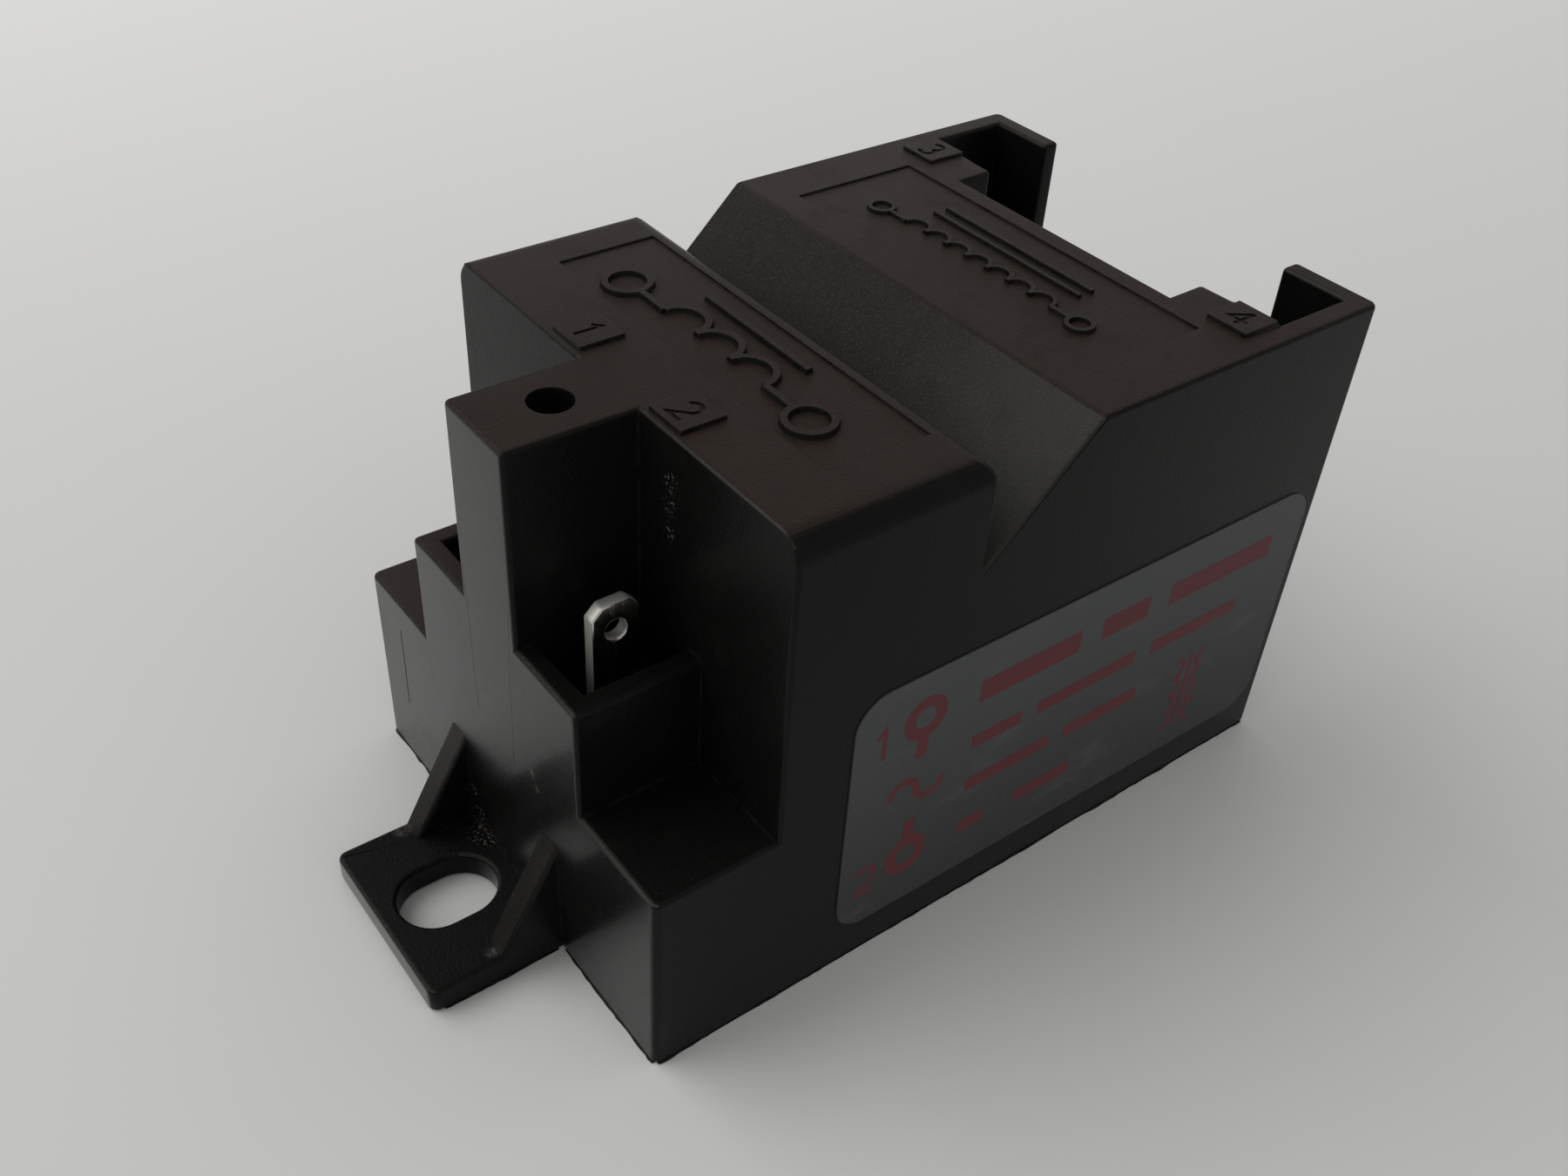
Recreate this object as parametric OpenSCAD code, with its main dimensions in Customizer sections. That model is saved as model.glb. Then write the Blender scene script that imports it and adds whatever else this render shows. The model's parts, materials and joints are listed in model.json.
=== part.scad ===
// Potted high-voltage ignition transformer in a one-piece moulded housing.
// The front face of the body stands near -X, the high-voltage end at +X, and the open
// underside, closed by the cast resin, lies on Z = 0. The part is symmetric about Y = 0,
// apart from its label.

/* [Body] */
// Length of the body without the front lug
body_l = 48.5; // [44:0.5:60]
// Width of the body
body_w = 31.5; // [29:0.5:40]
// Height of the body
body_h = 32.3; // [30:0.5:40]
// Thickness of the outer walls
wall = 1.5; // [1.2:0.1:1.8]
// Thickness of the roof over the coil
roof_t = 1.7; // [1.2:0.1:2.5]
// Rounding of the long top edges of the front block
edge_r = 1.5; // [0.8:0.1:1.8]
// Rounding of the four upright corners of the body
corner_r = 0.5; // [0.3:0.1:0.8]
// Depth at which the resin stops below the rim of the housing
resin_recess = 0.8; // [0.3:0.1:1.5]

/* [Stepped front end] */
// Length of the recess beside the central nose
step_l = 7.5; // [6.5:0.1:8.5]
// Height of the low floor of the recess
step_floor_z = 13.1; // [11:0.1:14.5]
// Height of the rim of the terminal well
shelf_z = 20.3; // [19:0.1:22]
// Width of the shelf that holds the terminal well
shelf_w = 5.8; // [5.2:0.1:6.5]
// Width of the central nose, which keeps the full height
nose_w = 5.7; // [5:0.1:7]
// Thickness of the rim round the terminal well
rim_t = 1.3; // [1:0.1:1.5]
// Depth of the terminal well below its rim
well_depth = 3.6; // [3:0.1:4.2]
// Diameter of the round hole down through the nose
nose_hole_d = 2.4; // [1.6:0.1:3]
// Depth of the round hole down through the nose
nose_hole_depth = 12; // [6:0.5:14]
// Distance of the round hole from the front face
nose_hole_x = 4.3; // [3.5:0.1:5]

/* [Creepage groove] */
// Distance of the groove's upright wall from the front face
groove_x = 19.6; // [18:0.1:21]
// Width of the groove at the top
groove_w = 6.9; // [6:0.1:8]
// Depth of the groove
groove_depth = 6.6; // [5.5:0.1:7.5]

/* [High-voltage end] */
// Length of the bay between the two guards
bay_l = 9.7; // [9:0.1:11]
// Length of the shoulder between the bay's end face and the pocket
shoulder_l = 2.6; // [2.2:0.1:3.2]
// Width of each terminal tower, from the body's side
tower_w = 7; // [6.5:0.1:8]
// Height of the floor of the terminal pocket
pocket_floor_z = 13.1; // [11:0.1:15]
// Thickness of the guard wall that closes the end
end_wall = 1.3; // [1:0.1:1.6]
// Length of that guard wall, from the body's side
guard_w = 5.9; // [5:0.1:6.4]

/* [Tops] */
// Depth of the shallow panels that the two mould inserts leave in the tops
panel_depth = 0.15; // [0.05:0.05:0.3]
// Gap between the front pads and the front panel
panel_gap = 1.3; // [0.5:0.1:2]
// Length of the rear panel
rear_panel_l = 8.8; // [6:0.1:9]
// Distance of the rear panel from the bay
rear_panel_gap = 1.4; // [1:0.1:2]
// Distance of both panels from the sides of the body
panel_side = 3.6; // [3:0.1:5]
// Side of the square pads that carry the terminal numbers
pad_side = 2.75; // [2:0.05:3.2]
// Height of the pads above the top
pad_h = 0.25; // [0.1:0.05:0.5]
// Gap between a front pad and the edges of the recess and the nose
pad_gap = 0.35; // [0.2:0.05:0.6]

/* [Fixing lugs] */
// Reach of a lug from the wall that carries it
lug_l = 8.2; // [8:0.1:9.4]
// Width of a lug
lug_w = 12.2; // [11:0.1:15]
// Thickness of a lug
lug_t = 1.8; // [1.4:0.1:2.5]
// Corner radius of a lug
lug_r = 0.6; // [0.3:0.1:2.5]
// Width of the fixing slot
slot_w = 4.5; // [3.4:0.1:5]
// Length of the fixing slot from end to end
slot_l = 5.9; // [5.4:0.1:6.2]
// Distance of the slot's centre from the wall
slot_x = 4.05; // [3.9:0.05:4.5]
// Length of a gusset along the lug
gusset_l = 3.7; // [2.5:0.1:4.5]
// Height of a gusset above the base
gusset_h = 8.4; // [6:0.1:10]
// Thickness of a gusset
gusset_t = 1.75; // [1.2:0.05:2]

/* [Terminals] */
// Width of a flat tab
tab_w = 2.8; // [2.4:0.1:3]
// Thickness of a tab
tab_t = 0.8; // [0.5:0.1:1]
// Height of a tab above the floor it stands on
tab_h = 6.6; // [5.5:0.1:7.5]
// Chamfer at the tip of a tab
tab_tip = 0.6; // [0.3:0.05:0.8]
// Diameter of the hole in a tab
tab_hole_d = 1.3; // [0.8:0.1:1.5]
// Distance of the hole from the tip of a tab
tab_hole_drop = 1.7; // [1.4:0.1:2.2]
// Width of the stem that goes down through the floor
stem_w = 1.6; // [1.2:0.1:2]
// Length of the stem below the floor it stands on
stem_l = 3.2; // [2.6:0.1:3.6]

/* [Coil] */
// Resin above and below the flanges of the coil
coil_cover = 2.2; // [1.8:0.1:2.6]
// Flange radius at which the next six sizes hold; they grow and shrink with the real one
coil_r = 9.5; // [9:0.1:10]
// Depth of wire in each chamber
winding_depth = 2.3; // [1.8:0.1:2.6]
// Wall of the sleeve that carries the primary winding
sleeve_t = 0.7; // [0.5:0.1:0.8]
// Thickness of the primary winding
primary_t = 0.5; // [0.4:0.05:0.6]
// Thickness of the tape between the windings
tape_t = 0.15; // [0.1:0.05:0.2]
// Wall of the chambered former
former_t = 0.9; // [0.7:0.1:1]
// Depth left free at the top of each chamber
chamber_free = 0.7; // [0.4:0.1:1.2]
// Thickness of a flange
flange_t = 0.8; // [0.6:0.1:0.9]
// Number of winding chambers
chambers = 7; // [4:1:9]
// Length of sleeve that stands out in front of the chambered former
sleeve_lead = 2.4; // [2:0.1:3]
// Diameter of the lead wires
wire_d = 0.6; // [0.4:0.05:0.8]
// Radius of the bends in the lead wires
bend_r = 1; // [0.6:0.1:1.2]

/* [Label] */
// Length of the label
label_l = 35.5; // [20:0.5:35.5]
// Height of the label
label_h = 17.7; // [10:0.1:18]
// Thickness of the label
label_t = 0.1; // [0.05:0.05:0.2]
// Corner radius of the label
label_r = 2.2; // [0.5:0.1:3]
// Height of the label's lower edge above the base
label_z = 2.6; // [1:0.1:5]
// Distance of the label's rear edge from the end of the body
label_gap = 1; // [0.5:0.1:3]

/* [Hidden] */
// Running clearance between round parts that slide into each other
slip = 0.05;
// Extra length of a cutter beyond the face that it cuts
cut = 1;
// Resin between the ends of the coil and the walls
end_gap = 0.6;

half_w = body_w / 2;
front_x = (lug_l - body_l) / 2;
bay_x = body_l - bay_l;
pocket_x = bay_x + shoulder_l;
nose_half = nose_w / 2;
rim_y = nose_half + shelf_w;
well_floor_z = shelf_z - well_depth;
tower_y = half_w - tower_w;
groove_floor_z = body_h - groove_depth;
groove_angle = atan2(groove_depth, groove_w);

// The front panel reaches from the pads to the rounding of the groove's edge
panel_x = step_l + pad_gap + pad_side + panel_gap;
panel_l = groove_x - edge_r - panel_x;

// Primary tabs stand in the middle of their wells, the others in the middle of their pockets
well_x = (rim_t + step_l) / 2;
well_y = (nose_half + rim_y - rim_t) / 2;
pocket_mid_x = (pocket_x + body_l - end_wall) / 2;
pocket_mid_y = (tower_y + half_w - wall) / 2;

// The coil fills the room under the groove or between the sides, less its cover of resin. All its
// radial sizes follow its flanges, and the rod gets what the windings leave
ceiling_z = groove_floor_z - wall;
coil_z = (resin_recess + ceiling_z) / 2;
flange_r = min(ceiling_z - resin_recess, body_w - 2 * wall) / 2 - coil_cover;
coil_scale = flange_r / coil_r;
secondary_r = flange_r - coil_scale * chamber_free;
former_r = secondary_r - coil_scale * winding_depth - slip;
former_in_r = former_r - coil_scale * former_t;
tape_r = former_in_r - slip;
primary_r = tape_r - coil_scale * tape_t - slip;
sleeve_r = primary_r - coil_scale * primary_t - slip;
core_r = sleeve_r - coil_scale * sleeve_t - slip;
core_x0 = step_l + wall + end_gap;
core_x1 = bay_x - wall - end_gap;
former_x0 = core_x0 + sleeve_lead;
chamber_w = (core_x1 - former_x0 - flange_t) / chambers;

$fn = 48;

// Moves from the body's own frame, with X from its front face, to the part's frame
module place() {
    translate([front_x, 0, 0]) children();
}

module both_sides() {
    children();
    mirror([0, 1, 0]) children();
}

// A box from its low corner to its high corner
module box(low, high) {
    translate(low) cube(high - low);
}

// The same with rounded upright edges
module plate(low, high, r) {
    box([low[0] + r, low[1], low[2]], [high[0] - r, high[1], high[2]]);
    box([low[0], low[1] + r, low[2]], [high[0], high[1] - r, high[2]]);
    for (x = [low[0] + r, high[0] - r], y = [low[1] + r, high[1] - r])
        translate([x, y, low[2]]) cylinder(r = r, h = high[2] - low[2]);
}

// A shape drawn in X and Z, extruded over a width along Y
module across(from_y, to_y) {
    translate([0, to_y, 0]) rotate([90, 0, 0]) linear_extrude(height = to_y - from_y) children();
}

// What a rounding takes off a long edge along X: the edge lies on the X axis, the body at +Y, -Z
module edge_cutter(length, r) {
    difference() {
        box([0, -cut, -r], [length, r, cut]);
        translate([-cut, r, -r]) rotate([0, 90, 0]) cylinder(r = r, h = length + 2 * cut);
    }
}

// The creepage groove: one upright wall and one slope, which meet in a sharp line
module groove_cutter() {
    run = cut / tan(groove_angle);
    across(-half_w - cut, half_w + cut)
        polygon([[groove_x, groove_floor_z], [groove_x + groove_w + run, body_h + cut],
            [groove_x, body_h + cut]]);
}

// The same groove, seen from the inside: a wall's thickness wider all round
module groove_shell() {
    corner = wall * (1 / cos(groove_angle) - 1) / tan(groove_angle);
    rise = body_h + cut - groove_floor_z + wall / cos(groove_angle);
    across(-half_w, half_w)
        polygon([[groove_x - wall, groove_floor_z - wall], [groove_x + corner, groove_floor_z - wall],
            [groove_x + rise / tan(groove_angle), body_h + cut], [groove_x - wall, body_h + cut]]);
}

// The stepped recess at one side of the nose, with the sunken well that holds a tab
module front_recess() {
    box([-cut, rim_y, step_floor_z], [step_l, half_w + cut, body_h + cut]);
    box([-cut, nose_half, shelf_z], [step_l, half_w + cut, body_h + cut]);
    box([rim_t, nose_half, well_floor_z], [step_l, rim_y - rim_t, shelf_z + cut]);
    translate([well_x, well_y, 0]) stem_hole(well_floor_z);
}

// The pocket of one high-voltage terminal, open at the top and towards the bay
module guard_pocket() {
    box([pocket_x, tower_y - cut, pocket_floor_z], [body_l - end_wall, half_w - wall, body_h + cut]);
    box([body_l - end_wall - cut, tower_y - cut, pocket_floor_z],
        [body_l + cut, half_w - guard_w, body_h + cut]);
    translate([pocket_mid_x, pocket_mid_y, 0]) stem_hole(pocket_floor_z);
}

// The slit in a floor for the stem of a tab
module stem_hole(floor_z) {
    box([-stem_w / 2 - slip, -tab_t / 2 - slip, floor_z - wall - cut],
        [stem_w / 2 + slip, tab_t / 2 + slip, floor_z + cut]);
}

// The hollow that the resin fills, from a given height up
module cavity(from_z) {
    inner_y = half_w - wall;
    difference() {
        union() {
            box([wall, -inner_y, from_z], [bay_x - wall, inner_y, body_h - roof_t]);
            both_sides() {
                box([wall, tower_y + wall, from_z], [pocket_x - wall, inner_y, body_h - roof_t]);
                box([wall, tower_y + wall, from_z], [body_l - end_wall, inner_y, pocket_floor_z - wall]);
            }
        }
        groove_shell();
        box([0, -half_w, well_floor_z - wall], [step_l + wall, half_w, body_h]);
        both_sides() box([0, rim_y - wall, step_floor_z - wall], [step_l + wall, half_w, body_h]);
    }
}

// A flat lug with rounded corners, a slot along X and two triangular gussets; its wall is at X = 0
module lug() {
    slot_run = (slot_l - slot_w) / 2;
    difference() {
        union() {
            box([-cut, -lug_w / 2, 0], [lug_l / 2, lug_w / 2, lug_t]);
            plate([0, -lug_w / 2, 0], [lug_l, lug_w / 2, lug_t], lug_r);
        }
        for (side = [-1, 1])
            translate([slot_x + side * slot_run, 0, -cut]) cylinder(d = slot_w, h = lug_t + 2 * cut);
        box([slot_x - slot_run, -slot_w / 2, -cut], [slot_x + slot_run, slot_w / 2, lug_t + cut]);
    }
    both_sides() across(lug_w / 2 - gusset_t, lug_w / 2)
        polygon([[-cut, 0], [gusset_l, 0], [gusset_l, lug_t], [0, gusset_h], [-cut, gusset_h]]);
}

// Raised square pads beside the terminals, each placed by its low corner
module number_pad(x, y) {
    box([x, y, body_h - cut], [x + pad_side, y + pad_side, body_h + pad_h]);
}

module number_pads() {
    both_sides() {
        number_pad(step_l + pad_gap, nose_half + pad_gap);
        number_pad(pocket_x - pad_side, half_w - wall - pad_side);
    }
}

// The shallow panel that a mould insert leaves in the top
module panel_cutter(x, length) {
    y = half_w - panel_side;
    box([x, -y, body_h - panel_depth], [x + length, y, body_h + cut]);
}

module housing_blank() {
    difference() {
        plate([0, -half_w, 0], [body_l, half_w, body_h], corner_r);
        groove_cutter();
        // Rounded long edges and groove edge of the front block
        both_sides() translate([-cut, -half_w, body_h]) edge_cutter(groove_x + cut, edge_r);
        translate([groove_x, -half_w - cut, body_h]) rotate([0, 0, 90])
            edge_cutter(body_w + 2 * cut, edge_r);
        // Bay between the guards
        box([bay_x, -tower_y, -cut], [body_l + cut, tower_y, body_h + cut]);
        panel_cutter(panel_x, panel_l);
        panel_cutter(bay_x - rear_panel_gap - rear_panel_l, rear_panel_l);
    }
    number_pads();
}

// One moulding: body, stepped front, groove, guards, pads and both lugs
module housing() {
    color("#2b2724") place() difference() {
        union() {
            housing_blank();
            mirror([1, 0, 0]) lug();
            translate([bay_x, 0, 0]) lug();
        }
        both_sides() front_recess();
        both_sides() guard_pocket();
        cavity(-cut);
        translate([nose_hole_x, 0, body_h - nose_hole_depth])
            cylinder(d = nose_hole_d, h = nose_hole_depth + cut);
    }
}

// A tube whose axis is the coil's axis
module coil_tube(x0, x1, inner_r, outer_r) {
    translate([x0, 0, coil_z]) rotate([0, 90, 0]) difference() {
        cylinder(r = outer_r, h = x1 - x0);
        translate([0, 0, -cut]) cylinder(r = inner_r, h = x1 - x0 + 2 * cut);
    }
}

// The same, without the hole through it
module coil_rod(x0, x1, r) {
    translate([x0, 0, coil_z]) rotate([0, 90, 0]) cylinder(r = r, h = x1 - x0);
}

function chamber_x(i) = former_x0 + flange_t + i * chamber_w;

module ferrite_rod() {
    color("#3a3a3c") place() coil_rod(core_x0, core_x1, core_r);
}

module primary_sleeve() {
    color("#d8cfae") place() coil_tube(core_x0, core_x1, core_r + slip, sleeve_r);
}

module primary_winding() {
    color("#b5642a") place() coil_tube(core_x0 + flange_t, core_x1 - flange_t, sleeve_r + slip, primary_r);
}

module insulation_tape() {
    color("#d9b43c") place() coil_tube(former_x0, core_x1 - flange_t, primary_r + slip, tape_r);
}

// A tube with flanges between which the secondary is wound, chamber by chamber
module chambered_former() {
    color("#e6e2d6") place() difference() {
        union() {
            coil_rod(former_x0, core_x1, former_r);
            for (i = [0 : chambers]) {
                x = former_x0 + i * chamber_w;
                coil_rod(x, x + flange_t, flange_r);
            }
        }
        coil_rod(former_x0 - cut, core_x1 + cut, former_in_r);
    }
}

module secondary_winding(i) {
    x = chamber_x(i);
    color("#a8521f") place() coil_tube(x, x + chamber_w - flange_t, former_r + slip, secondary_r);
}

// Outer form of the whole coil, which the resin leaves free
module coil_envelope() {
    coil_rod(core_x0, core_x1, primary_r);
    coil_rod(former_x0, core_x1, secondary_r);
    for (i = [0 : chambers]) {
        x = former_x0 + i * chamber_w;
        coil_rod(x, x + flange_t, flange_r);
    }
}

// A flat blade with a chamfered tip and a hole, and a narrower stem; its floor is at Z = 0
module tab() {
    half = tab_w / 2;
    across(-tab_t / 2, tab_t / 2) difference() {
        polygon([[-half, 0], [-stem_w / 2, 0], [-stem_w / 2, -stem_l], [stem_w / 2, -stem_l],
            [stem_w / 2, 0], [half, 0], [half, tab_h - tab_tip], [half - tab_tip, tab_h],
            [tab_tip - half, tab_h], [-half, tab_h - tab_tip]]);
        translate([0, tab_h - tab_hole_drop]) circle(d = tab_hole_d);
    }
}

// side is 1 or -1, and the label is on the -1 side
module primary_tab(side) {
    color("#c9c6bd") place() translate([well_x, side * well_y, well_floor_z]) tab();
}

module high_voltage_tab(side) {
    color("#c9c6bd") place() translate([pocket_mid_x, side * pocket_mid_y, pocket_floor_z]) tab();
}

// A quarter turn of wire round a corner, from direction a to direction b
module wire_bend(corner, a, b) {
    middle = corner + bend_r * (b - a);
    up = cross(a, b);
    multmatrix([for (k = [0 : 2]) [-b[k], a[k], up[k], middle[k]]])
        rotate_extrude(angle = 90) translate([bend_r, 0]) circle(d = wire_d);
}

// A wire along straight stretches at right angles to each other, with a bend at each corner
module wire(points) {
    way = [for (i = [1 : len(points) - 1]) (points[i] - points[i - 1]) / norm(points[i] - points[i - 1])];
    last = len(way) - 1;
    for (i = [0 : last]) {
        start = points[i] + (i > 0 ? bend_r : 0) * way[i];
        stop = points[i + 1] - (i < last ? bend_r : 0) * way[i];
        translate(start) rotate([0, acos(way[i][2]), atan2(way[i][1], way[i][0])])
            cylinder(d = wire_d, h = norm(stop - start));
        if (i < last) wire_bend(points[i + 1], way[i], way[i + 1]);
    }
}

// From the stem of a primary tab down and along to the primary winding's first turns
module primary_lead_run(side) {
    reach = primary_r + wire_d / 2 + slip;
    // Just below the point where it would touch the winding, in whole tenths
    z = coil_z - ceil(10 * sqrt(max(0, reach * reach - well_y * well_y))) / 10;
    y = side * well_y;
    wire([[well_x, y, well_floor_z - stem_l], [well_x, y, z], [former_x0 - 2 * slip, y, z]]);
}

// From an end chamber of the secondary out and along to the stem of a high-voltage tab
module high_voltage_lead_run(side) {
    stem_end = pocket_floor_z - stem_l;
    z = stem_end - bend_r - wire_d;
    x = chamber_x(side > 0 ? chambers - 1 : 0) + (chamber_w - flange_t) / 2;
    start = sqrt(pow(secondary_r, 2) - pow(coil_z - z - wire_d / 2, 2)) + slip;
    wire([[x, side * start, z], [x, side * pocket_mid_y, z], [pocket_mid_x, side * pocket_mid_y, z],
        [pocket_mid_x, side * pocket_mid_y, stem_end]]);
}

module primary_lead(side) {
    color("#b5642a") place() primary_lead_run(side);
}

module high_voltage_lead(side) {
    color("#b5642a") place() high_voltage_lead_run(side);
}

// The block of resin that fills the cavity round everything that the housing holds
module potting_resin() {
    color("#4a3a2c") place() difference() {
        cavity(resin_recess);
        coil_envelope();
        for (side = [-1, 1]) {
            primary_lead_run(side);
            high_voltage_lead_run(side);
            translate([well_x, side * well_y, well_floor_z]) tab();
            translate([pocket_mid_x, side * pocket_mid_y, pocket_floor_z]) tab();
        }
    }
}

// A thin plate with rounded corners on the -Y face
module label() {
    color("#8f8f92") place() translate([body_l - label_gap - label_l, -half_w, label_z])
        rotate([90, 0, 0]) plate([0, 0, 0], [label_l, label_h, label_t], label_r);
}

housing();
potting_resin();
ferrite_rod();
primary_sleeve();
primary_winding();
insulation_tape();
chambered_former();
for (i = [0 : chambers - 1])
    secondary_winding(i);
primary_tab(-1);  // primary_tab_1
primary_tab(1);  // primary_tab_2
high_voltage_tab(-1);  // high_voltage_tab_1
high_voltage_tab(1);  // high_voltage_tab_2
primary_lead(-1);  // primary_lead_1
primary_lead(1);  // primary_lead_2
high_voltage_lead(-1);  // high_voltage_lead_1
high_voltage_lead(1);  // high_voltage_lead_2
label();
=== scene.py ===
# %% [markdown]
# # An ignition transformer on a sheet of paper
#
# The object is a small block of dark moulded plastic with a coil cast into it. Its solids come
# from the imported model, where every wall, step, groove and lug already has its real size. This
# lesson gives that block the finish of the real one: the eroded grain of the mould, softened
# edges, a printed film, tinned tabs and a glossy cast underside. Then it sets up the light and
# the camera. All lengths are in metres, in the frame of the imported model.

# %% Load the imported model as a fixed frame
import json
import math

import bmesh
import bpy
from mathutils import Matrix, Vector, noise

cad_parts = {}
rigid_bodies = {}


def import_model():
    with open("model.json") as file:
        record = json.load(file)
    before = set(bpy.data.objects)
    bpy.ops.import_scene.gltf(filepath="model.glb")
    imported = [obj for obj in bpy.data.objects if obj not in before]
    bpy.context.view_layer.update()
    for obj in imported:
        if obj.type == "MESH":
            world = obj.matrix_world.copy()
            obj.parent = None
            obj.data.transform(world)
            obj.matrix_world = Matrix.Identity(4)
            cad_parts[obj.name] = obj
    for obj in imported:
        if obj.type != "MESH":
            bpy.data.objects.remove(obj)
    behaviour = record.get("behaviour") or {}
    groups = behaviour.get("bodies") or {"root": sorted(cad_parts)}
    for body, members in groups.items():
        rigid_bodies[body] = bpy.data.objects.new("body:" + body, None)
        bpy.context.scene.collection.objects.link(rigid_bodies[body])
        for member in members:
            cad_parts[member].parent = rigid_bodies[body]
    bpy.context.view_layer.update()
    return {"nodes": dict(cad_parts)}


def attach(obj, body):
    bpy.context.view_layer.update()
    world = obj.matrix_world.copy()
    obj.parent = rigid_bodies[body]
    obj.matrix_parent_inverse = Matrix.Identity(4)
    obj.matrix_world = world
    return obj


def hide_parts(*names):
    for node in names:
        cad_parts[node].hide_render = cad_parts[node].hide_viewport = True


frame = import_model()

MM = 0.001
nodes = frame["nodes"]

# %% [markdown]
# ## Shader maths as plain expressions
#
# A material is a graph, but most of it is arithmetic. Wrapping each socket in a small class lets
# the recipes below read like formulas: `1 - mask` adds one Math node, and `shape.mix(a, b)` adds
# one Mix node. Every other node comes from `Recipe.node`, which takes its type, its settings and
# its inputs.

# %% A socket that knows arithmetic
class Wire:
    """One output socket of a node, with the arithmetic that the recipes use."""

    def __init__(self, recipe, socket):
        self.recipe, self.socket = recipe, socket

    def maths(self, operation, *others):
        node = self.recipe.tree.nodes.new("ShaderNodeMath")
        node.operation = operation
        for slot, value in zip(node.inputs, (self,) + others):
            self.recipe.feed(slot, value)
        return Wire(self.recipe, node.outputs[0])

    def reflected(self, operation, first):
        node = self.recipe.tree.nodes.new("ShaderNodeMath")
        node.operation = operation
        node.inputs[0].default_value = first
        self.recipe.feed(node.inputs[1], self)
        return Wire(self.recipe, node.outputs[0])

    def __add__(self, other):
        return self.maths("ADD", other)

    def __sub__(self, other):
        return self.maths("SUBTRACT", other)

    def __mul__(self, other):
        return self.maths("MULTIPLY", other)

    def __radd__(self, first):
        return self.reflected("ADD", first)

    def __rsub__(self, first):
        return self.reflected("SUBTRACT", first)

    def __rmul__(self, first):
        return self.reflected("MULTIPLY", first)

    def above(self, edge, soft):
        """0 below the edge and 1 above it, over a soft step."""
        step = self.recipe.node("ShaderNodeMapRange", {"interpolation_type": "SMOOTHSTEP"},
                                {"Value": self, "From Min": edge - soft, "From Max": edge + soft})
        return step["Result"]

    def below(self, edge, soft):
        return 1 - self.above(edge, soft)

    def mix(self, low, high):
        """The colour low where this value is 0, and high where it is 1."""
        blend = self.recipe.node("ShaderNodeMix", {"data_type": "RGBA"},
                                 {"Factor_Float": self, "A_Color": low, "B_Color": high})
        return blend["Result_Color"]


class Outputs:
    """The outputs of one node by name, each as a Wire."""

    def __init__(self, recipe, node):
        self.recipe, self.node = recipe, node

    def __getitem__(self, name):
        for socket in self.node.outputs:
            if name in (socket.name, socket.identifier):
                return Wire(self.recipe, socket)
        raise KeyError(name)


class Recipe:
    """A material with its own node tree and a Principled shader to feed."""

    def __init__(self, name):
        self.material = bpy.data.materials.new(name)
        self.material.use_nodes = True
        self.tree = self.material.node_tree
        self.shader = self.tree.nodes["Principled BSDF"]

    def feed(self, slot, value):
        if isinstance(value, Wire):
            self.tree.links.new(value.socket, slot)
        elif isinstance(value, (tuple, list)) and len(slot.default_value) == 4:
            slot.default_value = (*value, 1.0)[:4]
        else:
            slot.default_value = value

    def node(self, kind, settings=None, inputs=None):
        node = self.tree.nodes.new(kind)
        for name, value in (settings or {}).items():
            if name == "stops":
                self.place_stops(node.color_ramp, value)
            else:
                setattr(node, name, value)
        for name, value in (inputs or {}).items():
            slot = node.inputs[name] if isinstance(name, int) else next(
                s for s in node.inputs if name in (s.identifier, s.name))
            self.feed(slot, value)
        return Outputs(self, node)

    @staticmethod
    def place_stops(ramp, stops):
        while len(ramp.elements) < len(stops):
            ramp.elements.new(1.0)
        for element, (position, colour) in zip(ramp.elements, stops):
            element.position = position
            element.color = (*colour, 1.0)

    def place(self):
        """The point on the object, in metres."""
        return self.node("ShaderNodeTexCoord")["Object"]

    def facing(self):
        """X, Y and Z of the direction that the flat face looks in."""
        flat = self.node("ShaderNodeNewGeometry")["True Normal"]
        return self.node("ShaderNodeSeparateXYZ", {}, {"Vector": flat})

    def axes(self):
        """X, Y and Z of the point on the object, in metres."""
        return self.node("ShaderNodeSeparateXYZ", {}, {"Vector": self.place()})

    def near(self, point, reach):
        """1 at a point of the object, falling to 0 at a distance."""
        gap = self.node("ShaderNodeVectorMath", {"operation": "DISTANCE"},
                        {0: self.place(), 1: tuple(point)})
        return 1 - gap["Value"].above(reach * 0.6, reach * 0.4)

    def edge(self, radius):
        """About 1 on an edge and 0 away from it."""
        rounded = self.node("ShaderNodeBevel", {"samples": 6}, {"Radius": radius})["Normal"]
        flat = self.node("ShaderNodeNewGeometry")["True Normal"]
        turn = self.node("ShaderNodeVectorMath", {"operation": "DOT_PRODUCT"},
                         {0: rounded, 1: flat})
        return 1 - turn["Value"].above(0.93, 0.06)

    def noise(self, size, detail=2.0, stretch=(1, 1, 1), roughness=0.5):
        """Cloudy noise whose patches are about `size` metres across."""
        spot = self.node("ShaderNodeMapping", {}, {"Vector": self.place(), "Scale": stretch})
        return self.node("ShaderNodeTexNoise", {}, {
            "Vector": spot["Vector"], "Scale": 1 / size, "Detail": detail,
            "Roughness": roughness})["Fac"]

    def set(self, **values):
        """Sockets of the shader by name, with _ for a space: set(Base_Color=..., Roughness=...)."""
        for name, value in values.items():
            self.feed(self.shader.inputs[name.replace("_", " ")], value)
        return self

    def bump(self, height, distance, strength=1.0):
        """Feeds Normal with relief: height runs from 0 to 1, and 1 is `distance` metres high."""
        relief = self.node("ShaderNodeBump", {}, {
            "Height": height, "Distance": distance, "Strength": strength})
        self.feed(self.shader.inputs["Normal"], relief["Normal"])
        return self


print("recipes can now be written as expressions")

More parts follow.
